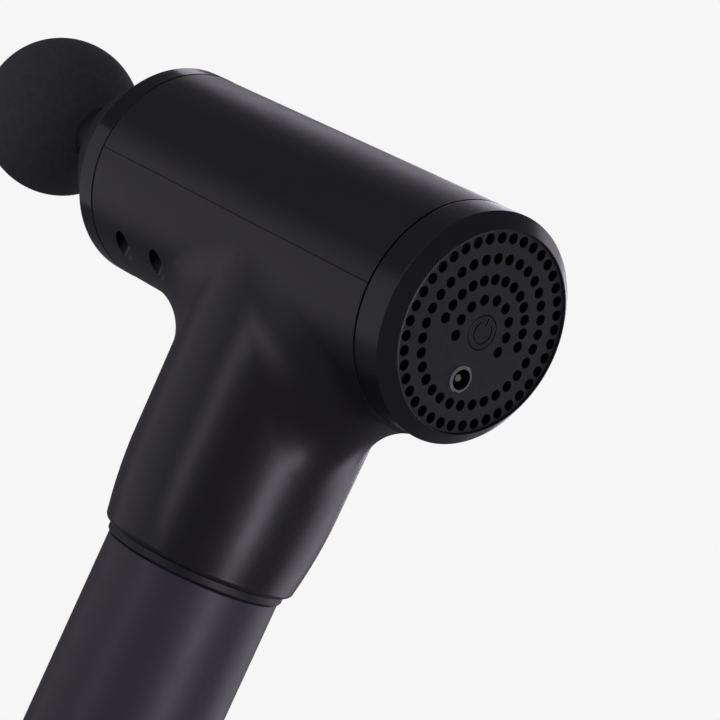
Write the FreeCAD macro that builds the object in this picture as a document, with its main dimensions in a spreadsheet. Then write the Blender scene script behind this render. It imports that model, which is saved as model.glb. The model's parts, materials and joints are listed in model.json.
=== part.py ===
"""Hand-held percussion massage gun, in millimetres.

A T-shaped gun: a round barrel lies along X on top of an upright round handle.
The row's origin is the centre of the handle's base, +Z runs up the handle, and
+X points out of the ball head.  The gun is symmetric about the XZ plane.

Pieces of the barrel are drawn about the crossing of the barrel's axis and the
handle's axis, and their placement lifts them by axis_height.
"""

import FreeCAD, Part
import math
import os

import Sketcher

FULL_TURN = 360.0
TOLERANCE = 0.01  # two lengths closer than this count as equal
STEPS = 8  # places along an edge that are looked at

SIZES = [
    # whole gun
    ("axis_height", 209.0, "barrel axis above the handle's base"),
    ("edge_break", 0.3, "small chamfer on edges of moulded and plated pieces"),
    ("shaft_chamfer", 0.6, "chamfer at the ends of turned pieces"),
    ("end_gap", 0.1, "gap between end faces that nearly touch"),
    ("slip_gap", 0.05, "radial gap round a piece that slides into place"),
    ("cut_past", 1.0, "how far a cutting tool runs past a face"),
    # casing
    ("barrel_radius", 31.1, "outside of the casing tube"),
    ("wall", 2.4, "casing thickness"),
    ("casing_rear", -48.7, "rear end of the casing tube"),
    ("casing_front", 71.9, "front end of the casing tube"),
    ("seam_gap", 0.08, "parting line between the two half shells"),
    ("tee_reach", 100.0, "half length of the tube before its ends are cut"),
    ("neck_top_radius", 30.6, "neck at the barrel axis"),
    ("neck_low_radius", 29.8, "neck where its lower curve starts"),
    ("neck_end_radius", 27.55, "neck above its rounded end"),
    ("neck_curve", 142.0, "radius of the neck's lower curve"),
    ("neck_low", -62.0, "start of the lower curve"),
    ("neck_end", -88.7, "end face of the neck"),
    ("neck_edge", 1.8, "rounding of the neck's end"),
    ("blend_radius", 27.0, "round blend between neck and barrel"),
    ("lip_depth", 1.25, "thickness of the lip behind the seam"),
    ("lip_rise", 2.5, "height of the lip above the seam"),
    ("lip_rear", -33.8, "rear end of the lip"),
    ("lip_front", 62.0, "front end of the lip"),
    # screws that hold the two shells together
    ("boss_radius", 4.0, "screw boss"),
    ("boss_y", 20.9, "screws' distance from the middle plane"),
    ("boss_front_x", 58.2, "front pair of screws"),
    ("boss_rear_x", 41.4, "rear pair of screws"),
    ("screw_head_radius", 2.9, "screw head"),
    ("screw_head_height", 2.0, "screw head"),
    ("screw_radius", 1.25, "screw thread, outside"),
    ("screw_hole_radius", 1.55, "clearance hole"),
    ("counterbore_radius", 3.4, "hole for the screw head and driver"),
    ("screw_seat", -11.0, "height of the screw head's seat"),
    ("screw_tip", 9.0, "height of the screw's tip"),
    ("pilot_top", 12.0, "height of the pilot hole's end"),
    # front ring and nose
    ("fit_gap", 0.15, "side gap of pieces that slip into the casing"),
    ("front_ring_end", 79.0, "front face of the front ring"),
    ("front_ring_radius", 31.2, "largest radius of the front ring"),
    ("front_ring_root", 30.2, "floor of the shadow groove beside the casing"),
    ("front_ring_edge", 0.35, "small chamfers of the front ring's band"),
    ("front_ring_lip", 1.2, "depth of the seat for the nose"),
    ("front_groove", 0.2, "width of the shadow groove beside the casing"),
    ("ring_bore", 26.6, "inside of both end rings' spigots"),
    ("spigot_length", 4.6, "spigot inside the casing"),
    ("nose_tip", 99.0, "front face of the nose"),
    ("nose_root_radius", 29.0, "nose where it leaves the front ring"),
    ("nose_tip_radius", 18.5, "nose at its front face"),
    ("nose_dome", 60.0, "radius of the nose's round side"),
    ("nose_wall", 2.2, "thickness of the nose"),
    ("nose_opening", 12.6, "hole in the nose"),
    ("nose_lip", 0.8, "narrow bevel round the nose's front face"),
    ("nose_boss_radius", 3.0, "screw bosses inside the nose"),
    ("nose_boss_end", 84.0, "front end of the nose's bosses"),
    ("seal_lip", 11.0, "hole in the rubber dust seal"),
    ("seal_proud", 0.4, "height of the seal over the nose"),
    ("seal_foot", 0.8, "how far the seal grips the nose"),
    ("seal_width", 2.6, "length of the dust seal"),
    # rear ring and grille
    ("rear_band_end", -58.3, "rear edge of the straight band"),
    ("rear_end", -61.9, "rear end of the bevel"),
    ("rear_bevel_radius", 27.4, "bevel at its rear end"),
    ("rear_gap", 0.25, "shadow gap in front of the rear ring"),
    ("rear_edge", 0.45, "small chamfer round the band"),
    ("rear_bore", 27.1, "inside of the rear ring"),
    ("disc_ledge", 0.35, "ledge that the disc rests on"),
    ("disc_ledge_depth", 1.5, "ledge that the disc rests on"),
    ("disc_radius", 27.0, "grille disc"),
    ("disc_rear", -61.3, "rear face of the grille disc"),
    ("disc_thickness", 2.0, "grille disc"),
    ("hole_radius", 1.5, "grille hole"),
    ("ring_a_radius", 24.95, "outer ring of holes"),
    ("ring_b_radius", 19.5, "second ring of holes"),
    ("ring_c_radius", 14.0, "third ring of holes"),
    ("ring_d_radius", 8.75, "inner ring of holes"),
    ("ring_a_count", 40, "holes in the outer ring"),
    ("ring_b_count", 31, "holes in the second ring"),
    ("ring_c_count", 13, "holes in the upper half of the third ring"),
    ("ring_d_count", 9, "holes in the inner ring"),
    ("ring_c_span", 180.0, "arc of the third ring"),
    ("ring_d_span", 221.5, "arc of the inner ring"),
    ("button_radius", 4.6, "power button's cap"),
    ("button_gap", 0.15, "gap round the button"),
    ("button_proud", 0.1, "button's height over the disc"),
    ("button_flange", 0.8, "how much wider the button's foot is"),
    ("button_back", -58.2, "front end of the button, inside"),
    ("symbol_radius", 2.9, "power symbol's arc"),
    ("symbol_depth", 0.4, "engraved depth of the symbol"),
    ("symbol_line", 0.55, "line width of the symbol"),
    ("symbol_gap", 1.9, "half width of the opening at the arc's top"),
    ("symbol_bar_low", 1.9, "lower end of the bar in that opening"),
    ("symbol_bar_high", 4.0, "upper end of the bar"),
    # charging jack
    ("jack_z", -12.9, "jack below the barrel axis"),
    ("jack_ring_radius", 3.65, "bright ring of the jack"),
    ("jack_bore_radius", 2.8, "socket for a 5.5 mm plug"),
    ("jack_pin_radius", 1.0, "centre pin"),
    ("jack_ring_rear", -61.7, "rear face of the jack's ring"),
    ("jack_depth", 9.0, "depth of the socket"),
    ("jack_step", 0.4, "how far the jack's ring reaches behind the disc"),
    ("jack_pin_recess", 1.0, "pin's end below the ring"),
    ("jack_body_side", 9.0, "square body behind the ring"),
    # control board and fan
    ("board_front", -48.6, "front face of the control board"),
    ("board_thickness", 1.6, "control board"),
    ("board_width", 30.0, "control board along Y"),
    ("board_low", -20.0, "lower edge of the board"),
    ("board_high", 9.0, "upper edge of the board"),
    ("board_corner", 4.0, "rounded corners of the board"),
    ("switch_side", 6.0, "push switch"),
    ("switch_height", 5.6, "push switch's case along X"),
    ("switch_stem_radius", 1.6, "push switch's stem"),
    ("switch_travel", 0.4, "travel of the button"),
    ("fan_rear", -43.8, "rear face of the fan's frame"),
    ("fan_front", -34.2, "front face of the fan's frame"),
    ("fan_outer", 28.3, "fan frame, outside"),
    ("fan_inner", 25.6, "fan frame, inside"),
    ("fan_hub", 9.0, "fan hub"),
    ("fan_motor_radius", 8.5, "hub motor's seat"),
    ("fan_hub_inset", 0.8, "fan hub behind the frame's rear face"),
    ("fan_hub_gap", 0.6, "fan hub in front of the arms"),
    ("fan_arm_count", 3, "arms that hold the fan's motor"),
    ("fan_blade_tip", 24.9, "blade tips"),
    ("fan_blade_count", 7, "blades"),
    ("fan_arm_width", 3.0, "arms that hold the fan's motor"),
    ("fan_arm_depth", 1.8, "arms along X"),
    ("fan_blade_thickness", 1.1, "blade"),
    ("fan_blade_inset", 1.2, "blades' distance from the frame's faces"),
    ("fan_blade_lean", 3.6, "how far a blade's ends lean sideways"),
    ("fan_shaft_inset", 2.0, "rear end of the fan's shaft inside the frame"),
    # motor, shaft upright, below the crank
    ("bracket_top", -9.0, "upper face of the motor bracket"),
    ("bracket_thickness", 2.5, "motor bracket"),
    ("bracket_radius", 27.1, "motor bracket"),
    ("motor_screw_pitch", 9.4, "motor screws' distance from the shaft"),
    ("motor_screw_radius", 1.0, "motor screws, outside of the thread"),
    ("motor_screw_head", 1.9, "motor screws, head radius"),
    ("motor_screw_head_height", 1.2, "motor screws, sunk in the bracket"),
    ("motor_screw_count", 3, "motor screws"),
    ("fan_shaft_radius", 1.5, "fan shaft"),
    ("base_screw_count", 3, "base screws"),
    ("base_screw_tip", 9.0, "tips of the base screws"),
    ("bracket_hole", 7.0, "hole for the motor's upper bearing"),
    ("motor_base_radius", 12.0, "motor's fixed foot"),
    ("motor_base_height", 2.0, "motor's fixed foot"),
    ("bearing_tube_radius", 6.4, "tube that holds the motor's bearings"),
    ("bearing_outer", 5.0, "motor bearings"),
    ("bearing_width", 4.0, "motor bearings"),
    ("stator_top", -15.6, "stator core"),
    ("stator_bottom", -29.4, "stator core"),
    ("stator_teeth", 9, "stator teeth"),
    ("stator_hub_radius", 10.0, "stator core's ring"),
    ("tooth_half_width", 1.7, "stator tooth"),
    ("tooth_tip", 17.6, "end of a stator tooth"),
    ("tooth_foot", 16.0, "inner side of a tooth's wide end"),
    ("tooth_foot_half_width", 5.2, "tooth's wide end"),
    ("coil_thickness", 0.9, "copper coil beside a tooth"),
    ("coil_inner", 11.5, "coil, towards the shaft"),
    ("coil_outer", 15.8, "coil, towards the bell"),
    ("coil_inset", 0.4, "coil's ends below the core's"),
    ("bell_radius", 21.5, "rotating bell of the motor"),
    ("bell_wall", 1.3, "rotating bell"),
    ("magnet_depth", 1.3, "magnets inside the bell"),
    ("magnet_count", 12, "magnets"),
    ("magnet_half_angle", 13.3, "half of the arc of a magnet"),
    ("magnet_inset", 1.0, "magnets' distance from the bell's ends"),
    ("bell_top", -14.4, "open end of the bell"),
    ("bell_bottom", -33.4, "closed end of the bell"),
    ("bell_floor", 2.0, "closed end's thickness"),
    ("shaft_radius", 2.5, "motor shaft"),
    ("running_gap", 0.05, "radial clearance of a running fit"),
    # crank and connecting rod
    ("crank_throw", 5.0, "half of the stroke"),
    ("crank_bottom", -8.5, "lower face of the crank disc"),
    ("crank_top", -3.9, "upper face of the crank disc"),
    ("crank_radius", 13.0, "crank disc"),
    ("weight_radius", 19.0, "counterweight"),
    ("weight_half_angle", 70.0, "half of the arc of the counterweight"),
    ("pin_radius", 3.0, "crank pin"),
    ("pin_top", 1.9, "top of the crank pin"),
    ("pin_bottom", -6.3, "bottom of the crank pin, inside the disc"),
    ("clip_width", 1.6, "clip round the pin"),
    ("clip_thickness", 0.6, "clip round the pin"),
    ("shaft_top", -6.9, "top of the motor shaft, inside the disc"),
    ("press_gap", 0.01, "radial gap of a pressed fit"),
    ("rod_bottom", -3.3, "lower face of the rod"),
    ("rod_top", 1.0, "upper face of the rod"),
    ("rod_length", 34.0, "rod between its two centres"),
    ("rod_big_radius", 9.0, "big end"),
    ("rod_small_radius", 6.0, "small end"),
    ("rod_waist", 3.2, "half width of the rod's shank"),
    ("rod_bearing_radius", 6.0, "bearing in the big end"),
    ("wrist_hole_radius", 2.5, "hole in the small end"),
    # piston and its guide
    ("tongue_bottom", 1.4, "lower face of the piston's tongue"),
    ("tongue_top", 6.0, "upper face of the piston's tongue"),
    ("tongue_half_width", 4.8, "piston's tongue"),
    ("tongue_rear", 23.0, "rear end of the tongue"),
    ("wrist_pin_radius", 2.4, "wrist pin"),
    ("wrist_pin_top", 6.6, "top of the wrist pin"),
    ("piston_rear", 46.0, "rear end of the round shaft"),
    ("piston_radius", 8.0, "round shaft"),
    ("socket_radius", 10.6, "head socket"),
    ("socket_rear", 90.3, "rear end of the head socket"),
    ("socket_cone", 2.0, "cone behind the head socket"),
    ("socket_front", 102.3, "front end of the head socket"),
    ("socket_bore", 5.6, "hole for the head's stem"),
    ("socket_floor", 78.3, "floor of the socket's hole"),
    ("guide_rear", 48.0, "rear end of the guide tube"),
    ("guide_front", 77.0, "front end of the guide tube"),
    ("guide_radius", 13.0, "guide tube, outside"),
    ("guide_bore", 10.0, "guide tube, inside"),
    ("flange_rear", 65.0, "guide flange"),
    ("flange_thickness", 2.2, "guide flange"),
    ("flange_radius", 28.2, "guide flange"),
    ("guide_screw_pitch", 21.5, "guide screws' distance from the axis"),
    ("guide_screw_count", 3, "guide screws"),
    ("guide_screw_tip", 80.0, "tips of the guide screws"),
    ("guide_screw_head", 1.5, "heads of the guide screws"),
    ("bush_length", 9.0, "plain bush"),
    ("bush_inset", 0.5, "bushes' distance from the tube's ends"),
    # ball head
    ("ball_x", 138.7, "centre of the ball"),
    ("ball_radius", 24.0, "ball"),
    ("stem_radius", 5.55, "stem in the socket"),
    ("stem_rear", 80.3, "rear end of the stem"),
    ("stem_chamfer", 0.8, "lead-in at the stem's rear end"),
    ("hub_radius", 9.0, "stem's collar"),
    ("hub_rear", 102.9, "rear face of the collar"),
    ("hub_front", 117.8, "collar's end, inside the ball"),
    ("core_radius", 6.0, "stem inside the ball"),
    ("core_front", 138.3, "end of the stem inside the ball"),
    ("core_disc_radius", 10.0, "disc that keeps the stem in the ball"),
    ("core_disc_rear", 133.3, "disc that keeps the stem in the ball"),
    ("oring_groove", 0.75, "depth of the stem's grooves"),
    ("oring_width", 1.6, "width of the stem's grooves"),
    ("oring_proud", 0.03, "O-ring's height over the stem"),
    ("oring_first_x", 86.3, "first O-ring"),
    ("oring_second_x", 95.3, "second O-ring"),
    # handle, measured from its base
    ("collar_radius", 25.5, "ring between neck and grip"),
    ("collar_top", 120.15, "ring between neck and grip"),
    ("collar_bottom", 117.75, "ring between neck and grip"),
    ("collar_edge", 0.6, "rounded lower edge of the ring"),
    ("grip_radius", 24.8, "grip sleeve"),
    ("grip_top", 117.5, "grip sleeve"),
    ("grip_bottom", 6.0, "grip sleeve"),
    ("liner_radius", 22.7, "tube inside the grip"),
    ("liner_wall", 1.5, "tube inside the grip"),
    ("liner_top", 134.0, "tube inside the grip"),
    ("cap_top", 5.8, "visible rim of the base cap"),
    ("cap_bottom", 0.8, "underside of the base cap"),
    ("cap_edge", 2.4, "rounded lower edge of the base cap"),
    ("pad_radius", 21.0, "rubber foot pad"),
    ("pad_thickness", 1.6, "rubber foot pad"),
    ("pad_edge", 0.5, "chamfer of the foot pad"),
    # battery
    ("cell_radius", 9.2, "round cell"),
    ("cell_length", 65.0, "round cell"),
    ("cell_pitch", 10.7, "cells' distance from the handle's axis"),
    ("cells_per_layer", 3, "cells side by side"),
    ("lower_cells", 10.2, "lower end of the lower layer"),
    ("upper_cells", 76.8, "lower end of the upper layer"),
    ("holder_radius", 20.6, "plates between the cells"),
    ("holder_cap", 3.0, "plate above the cells"),
    ("strap_thickness", 0.3, "nickel strap"),
    ("strap_width", 7.0, "nickel strap"),
    ("strap_overhang", 3.0, "strap's end past the cells' centres"),
    ("base_screw_pitch", 17.5, "base screws' distance from the axis"),
]

doc = FreeCAD.newDocument("massage_gun")
sheet = doc.addObject("Spreadsheet::Sheet", "dims")
for row, (alias, value, note) in enumerate(SIZES, start=1):
    sheet.set(f"A{row}", alias)
    sheet.set(f"B{row}", str(value))
    sheet.set(f"C{row}", note)
    sheet.setAlias(f"B{row}", alias)
doc.recompute()

NAMES = sorted((alias for alias, _, _ in SIZES), key=len, reverse=True)


def full(formula):
    """Write 'wall + fit_gap' as 'dims.wall + dims.fit_gap'."""
    words = []
    word = ""
    for letter in formula + " ":
        if letter.isalnum() or letter in "_.":
            word += letter
            continue
        words.append("dims." + word if word in NAMES else word)
        words.append(letter)
        word = ""
    return "".join(words).strip()


def number(formula):
    """Value of a formula in the sheet's names."""
    return float(sheet.evalExpression(full(formula)))


def bind(thing, **formulas):
    """Tie properties of a document object to formulas; two underscores stand for a dot."""
    for name, formula in formulas.items():
        thing.setExpression(name.replace("__", "."), full(formula))
    return thing


def new_body(label, height="axis_height"):
    """An empty body, lifted by the given formula."""
    body = doc.addObject("PartDesign::Body", label)
    body.Label = label
    bind(body, Placement__Base__z=height)
    return body


def new_sketch(body, plane, offset="0"):
    """A sketch on a plane of the body, moved along the plane's normal."""
    sketch = body.newObject("Sketcher::SketchObject", body.Label + "_sketch")
    origin_planes = {item.Role: item for item in body.Origin.OriginFeatures}
    sketch.AttachmentSupport = [(origin_planes[plane], "")]
    sketch.MapMode = "FlatFace"
    bind(sketch, AttachmentOffset__Base__z=offset)
    return sketch


def place_point(sketch, edge, end, across, up):
    """Hold one point of a sketch at (across, up), both formulas."""
    for kind, axis, formula in (("DistanceX", -2, across), ("DistanceY", -1, up)):
        if formula == "0":
            sketch.addConstraint(Sketcher.Constraint("PointOnObject", edge, end, axis))
            continue
        index = sketch.addConstraint(Sketcher.Constraint(kind, edge, end, number(formula)))
        sketch.setExpression(f"Constraints[{index}]", full(formula))


def arc_between(start, stop, radius, turn):
    """Arc from start to stop; turn is +1 when it runs anticlockwise, -1 when clockwise."""
    chord = stop - start
    half = chord.Length / 2
    rise = math.sqrt(max(radius ** 2 - half ** 2, 0))
    left = FreeCAD.Vector(-chord.y, chord.x, 0).normalize()
    centre = (start + stop) / 2 + left * rise * turn
    first, last = (start, stop) if turn > 0 else (stop, start)
    circle = Part.Circle(centre, FreeCAD.Vector(0, 0, 1), radius)
    angles = [math.atan2(p.y - centre.y, p.x - centre.x) for p in (first, last)]
    return Part.ArcOfCircle(circle, angles[0], angles[1])


def outline(sketch, corners):
    """Draw a closed outline.

    A corner is (across, up).  Where the edge that leaves it is round, the corner
    is (across, up, radius, turn).
    """
    points = [FreeCAD.Vector(number(c[0]), number(c[1]), 0) for c in corners]
    ends = []
    for index, corner in enumerate(corners):
        start = points[index]
        stop = points[(index + 1) % len(points)]
        if len(corner) == 2:
            edge = sketch.addGeometry(Part.LineSegment(start, stop), False)
            ends.append((edge, 1, 2))
            continue
        radius, turn = corner[2], corner[3]
        edge = sketch.addGeometry(arc_between(start, stop, number(radius), turn), False)
        ends.append((edge, 1, 2) if turn > 0 else (edge, 2, 1))
    for index, (edge, first, last) in enumerate(ends):
        after = ends[(index + 1) % len(ends)]
        sketch.addConstraint(Sketcher.Constraint("Coincident", edge, last, after[0], after[1]))
        place_point(sketch, edge, first, corners[index][0], corners[index][1])
    for index, corner in enumerate(corners):
        if len(corner) == 4:
            held = sketch.addConstraint(Sketcher.Constraint("Radius", ends[index][0], number(corner[2])))
            sketch.setExpression(f"Constraints[{held}]", full(corner[2]))
    return sketch


def rectangle(sketch, left, right, low, high):
    """Draw a rectangle between four formulas."""
    return outline(sketch, [(left, low), (right, low), (right, high), (left, high)])


def circle(sketch, radius, across="0", up="0"):
    """Draw a circle about (across, up)."""
    centre = FreeCAD.Vector(number(across), number(up), 0)
    edge = sketch.addGeometry(Part.Circle(centre, FreeCAD.Vector(0, 0, 1), number(radius)), False)
    place_point(sketch, edge, 3, across, up)
    held = sketch.addConstraint(Sketcher.Constraint("Radius", edge, number(radius)))
    sketch.setExpression(f"Constraints[{held}]", full(radius))
    return sketch


def extrude(body, kind, sketch, length, backwards):
    """A Pad or Pocket of the sketch."""
    feature = body.newObject("PartDesign::" + kind, f"{body.Label}_{kind.lower()}")
    feature.Profile = sketch
    feature.Reversed = backwards
    bind(feature, Length=length)
    return feature


def pad(body, sketch, length, backwards=False):
    """Add the sketch, drawn out along its plane's normal."""
    return extrude(body, "Pad", sketch, length, backwards)


def pocket(body, sketch, length, backwards=False):
    """Cut the sketch out, against its plane's normal."""
    return extrude(body, "Pocket", sketch, length, backwards)


def spin(body, kind, sketch, axis):
    """A full turn of the sketch about its own H_Axis or V_Axis."""
    feature = body.newObject("PartDesign::" + kind, f"{body.Label}_{kind.lower()}")
    feature.Profile = sketch
    feature.ReferenceAxis = (sketch, [axis])
    feature.Angle = FULL_TURN
    return feature


def turned(label, axis, corners, height="axis_height"):
    """A body turned from one outline in the XZ plane: about X (H_Axis) or Z (V_Axis)."""
    body = new_body(label, height)
    sketch = outline(new_sketch(body, "XZ_Plane"), corners)
    spin(body, "Revolution", sketch, axis)
    return body


def around(body, features, sketch, count, angle="360"):
    """Repeat features about the normal through the sketch's origin."""
    pattern = body.newObject("PartDesign::PolarPattern", body.Label + "_pattern")
    pattern.Originals = features
    pattern.Axis = (sketch, ["N_Axis"])
    bind(pattern, Angle=angle, Occurrences=count)
    body.Tip = pattern
    return pattern


def tube_along_x(label, rear, front, outer, inner, height="axis_height"):
    """A plain tube about the X axis."""
    corners = [(rear, inner), (front, inner), (front, outer), (rear, outer)]
    return turned(label, "H_Axis", corners, height)


def tube_along_z(label, low, high, outer, inner, height="axis_height"):
    """A plain tube about the Z axis."""
    corners = [(inner, low), (outer, low), (outer, high), (inner, high)]
    return turned(label, "V_Axis", corners, height)


# ---------------------------------------------------------------- the two half shells


def tee(label, inset, foot):
    """Barrel and neck as one solid with a round blend, every face moved in by inset.

    foot holds the outline's last corners, from the neck's rounded end to the axis.
    """
    body = new_body(label, "0")
    barrel = circle(new_sketch(body, "YZ_Plane", "-tee_reach"), f"barrel_radius - {inset}")
    pad(body, barrel, "2 * tee_reach")
    corners = [
        ("0", "0"),
        (f"neck_top_radius - {inset}", "0"),
        (f"neck_low_radius - {inset}", f"neck_low + {inset}", "neck_curve", -1),
        (f"neck_end_radius - {inset}", f"neck_end + {inset} + neck_edge", "neck_edge", -1),
        (f"neck_end_radius - {inset} - neck_edge", f"neck_end + {inset}"),
    ] + foot
    neck = outline(new_sketch(body, "XZ_Plane"), corners)
    joined = spin(body, "Revolution", neck, "V_Axis")
    doc.recompute()
    blend = body.newObject("PartDesign::Fillet", label + "_blend")
    blend.Base = (joined, crossing_edges(joined.Shape, number(f"barrel_radius - {inset}")))
    bind(blend, Radius=f"blend_radius + {inset}")
    return body


def crossing_edges(shape, radius):
    """Names of the edges where the neck leaves a barrel of the given radius."""
    names = []
    for index, edge in enumerate(shape.Edges, start=1):
        start, stop = edge.ParameterRange
        points = [edge.valueAt(start + (stop - start) * step / STEPS) for step in range(STEPS + 1)]
        on_barrel = all(abs(math.hypot(p.y, p.z) - radius) < TOLERANCE for p in points)
        round_neck = all(p.z < 0 and abs(p.x) < radius + TOLERANCE for p in points)
        if on_barrel and round_neck:
            names.append(f"Edge{index}")
    return names


def primitive(kind, label, **formulas):
    """A Part primitive whose sizes are bound to the sheet."""
    return bind(doc.addObject("Part::" + kind, label), **formulas)


def combine(kind, label, first, second):
    """A Part boolean of two objects."""
    result = doc.addObject("Part::" + kind, label)
    result.Base, result.Tool = first, second
    result.Refine = False
    return result


def fuse(label, pieces):
    """Join several objects."""
    result = doc.addObject("Part::MultiFuse", label)
    result.Shapes = pieces
    result.Refine = False
    return result


def block(label, low, high):
    """A box between two corners of formulas, in the barrel's frame."""
    box = primitive("Box", label)
    names = ("Length", "Width", "Height")
    for name, axis, start, stop in zip(names, "xyz", low, high):
        bind(box, **{name: f"({stop}) - ({start})"})
        bind(box, **{"Placement__Base__" + axis: start})
    return box


def barrel_rod(label, radius, rear, front):
    """A round bar along the barrel's axis."""
    rod = primitive("Cylinder", label, Radius=radius, Height=f"({front}) - ({rear})")
    rod.Placement = FreeCAD.Placement(FreeCAD.Vector(), FreeCAD.Rotation(FreeCAD.Vector(0, 1, 0), 90))
    return bind(rod, Placement__Base__x=rear)


def upright_rods(label, radius, low, high):
    """Four upright bars, one at each shell screw."""
    rods = []
    for where in ("front", "rear"):
        for side, sign in (("left", ""), ("right", "-")):
            rod = primitive("Cylinder", f"{label}_{where}_{side}")
            bind(rod, Radius=radius, Height=f"({high}) - ({low})")
            bind(rod, Placement__Base__x=f"boss_{where}_x", Placement__Base__y=sign + "boss_y")
            rods.append(bind(rod, Placement__Base__z=low))
    return fuse(label, rods)


def with_bosses(label, solid, hollow, middle, bosses):
    """A shell with its screw bosses, which end in the middle of the shell's wall."""
    skin = combine("Cut", label + "_skin", solid, hollow)
    posts = combine("Common", label + "_posts", bosses, middle)
    return combine("Fuse", label + "_joined", skin, posts)


def make_upper_shell():
    """Upper half of the casing tube, with blind bosses for the screws."""
    half = block(
        "upper_half",
        ("casing_rear", "-tee_reach", "seam_gap / 2"),
        ("casing_front", "tee_reach", "tee_reach"),
    )
    tube = barrel_rod("upper_tube", "barrel_radius", "casing_rear", "casing_front")
    solid = combine("Common", "upper_solid", tube, half)
    bore = barrel_rod("upper_bore", "barrel_radius - wall", "-tee_reach", "tee_reach")
    middle = barrel_rod("upper_middle", "barrel_radius - wall / 2", "casing_rear", "casing_front")
    bosses = upright_rods("upper_bosses", "boss_radius", "seam_gap / 2", "barrel_radius")
    pilots = upright_rods("upper_pilots", "screw_radius + press_gap", "-wall", "pilot_top")
    joined = with_bosses("upper", solid, bore, middle, bosses)
    shell = combine("Cut", "upper_shell", joined, pilots)
    return bind(shell, Placement__Base__z="axis_height")


def make_lower_shell():
    """Lower half of the casing with the neck, the screw wells and the lip behind the seam."""
    half = block(
        "lower_half",
        ("casing_rear", "-tee_reach", "-tee_reach"),
        ("casing_front", "tee_reach", "-seam_gap / 2"),
    )
    solid = combine("Common", "lower_solid", tee("lower_outer", "0", [("0", "neck_end")]), half)
    throat = [
        ("liner_radius + fit_gap", "neck_end + wall"),
        ("liner_radius + fit_gap", "neck_end - wall"),
        ("0", "neck_end - wall"),
    ]
    hollow = tee("lower_inner", "wall", throat)
    middle = tee("lower_middle", "wall / 2", [("0", "neck_end + wall / 2")])
    bosses = upright_rods("lower_bosses", "boss_radius + wall / 2", "-tee_reach / 2", "-seam_gap / 2")
    shell = with_bosses("lower", solid, hollow, middle, bosses)
    wells = upright_rods("wells", "counterbore_radius", "-tee_reach / 2", "screw_seat")
    shafts = upright_rods("shafts", "screw_hole_radius", "-tee_reach / 2", "wall")
    cut = combine("Cut", "lower_cut", combine("Cut", "lower_wells", shell, wells), shafts)
    shell = combine("Fuse", "lower_shell", cut, seam_lip())
    return bind(shell, Placement__Base__z="axis_height")


def seam_lip():
    """Two strips behind the seam: fused to the lower shell, a slip fit in the upper one."""
    foot = combine(
        "Cut",
        "lip_foot",
        barrel_rod("lip_foot_rod", "barrel_radius - wall / 2", "lip_rear", "lip_front"),
        barrel_rod("lip_foot_bore", "barrel_radius - wall - lip_depth", "-tee_reach", "tee_reach"),
    )
    crest = combine(
        "Cut",
        "lip_crest",
        barrel_rod("lip_crest_rod", "barrel_radius - wall - fit_gap", "lip_rear", "lip_front"),
        barrel_rod("lip_crest_bore", "barrel_radius - wall - lip_depth", "-tee_reach", "tee_reach"),
    )
    corner = ("-tee_reach", "-tee_reach", "-lip_rise")
    below = block("lip_below", corner, ("tee_reach", "tee_reach", "-seam_gap / 2"))
    above = block("lip_above", corner, ("tee_reach", "tee_reach", "lip_rise"))
    pieces = [combine("Common", "lip_low", foot, below), combine("Common", "lip_high", crest, above)]
    return fuse("seam_lip", pieces)


# ---------------------------------------------------------------- front ring, nose, seal


def make_front_ring():
    """Glossy ring at the front of the casing, with a spigot inside it."""
    return turned("front_ring", "H_Axis", [
        ("casing_front - spigot_length", "ring_bore"),
        ("front_ring_end - front_ring_lip", "ring_bore"),
        ("front_ring_end - front_ring_lip", "nose_root_radius + fit_gap"),
        ("front_ring_end", "nose_root_radius + fit_gap"),
        ("front_ring_end", "front_ring_radius - front_ring_edge"),
        ("front_ring_end - front_ring_edge", "front_ring_radius"),
        ("casing_front + front_groove + front_ring_edge", "front_ring_radius"),
        ("casing_front + front_groove", "front_ring_radius - front_ring_edge"),
        ("casing_front + front_groove", "front_ring_root"),
        ("casing_front", "front_ring_root"),
        ("casing_front", "barrel_radius - wall - fit_gap"),
        ("casing_front - spigot_length", "barrel_radius - wall - fit_gap"),
    ])


def make_nose_cover():
    """Domed front cover with a round opening and three screw bosses inside."""
    body = turned("nose_cover", "H_Axis", [
        ("front_ring_end - front_ring_lip", "nose_root_radius - nose_wall"),
        ("nose_tip - nose_wall", "nose_tip_radius - nose_wall / 2", "nose_dome", -1),
        ("nose_tip - nose_wall", "nose_opening"),
        ("nose_tip", "nose_opening"),
        ("nose_tip", "nose_tip_radius"),
        ("nose_tip - nose_lip", "nose_tip_radius + nose_lip", "nose_dome", 1),
        ("front_ring_end", "nose_root_radius"),
        ("front_ring_end - front_ring_lip", "nose_root_radius"),
    ])
    start = "flange_rear + flange_thickness + end_gap"
    post = circle(new_sketch(body, "YZ_Plane", start), "nose_boss_radius", "0", "guide_screw_pitch")
    boss = pad(body, post, f"nose_boss_end - ({start})")
    around(body, [boss], post, "guide_screw_count")
    end = new_sketch(body, "YZ_Plane", "guide_screw_tip + cut_past")
    pilot = circle(end, "screw_radius + press_gap", "0", "guide_screw_pitch")
    hole = pocket(body, pilot, "guide_screw_tip - flange_rear")
    around(body, [hole], pilot, "guide_screw_count")
    return body


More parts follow.
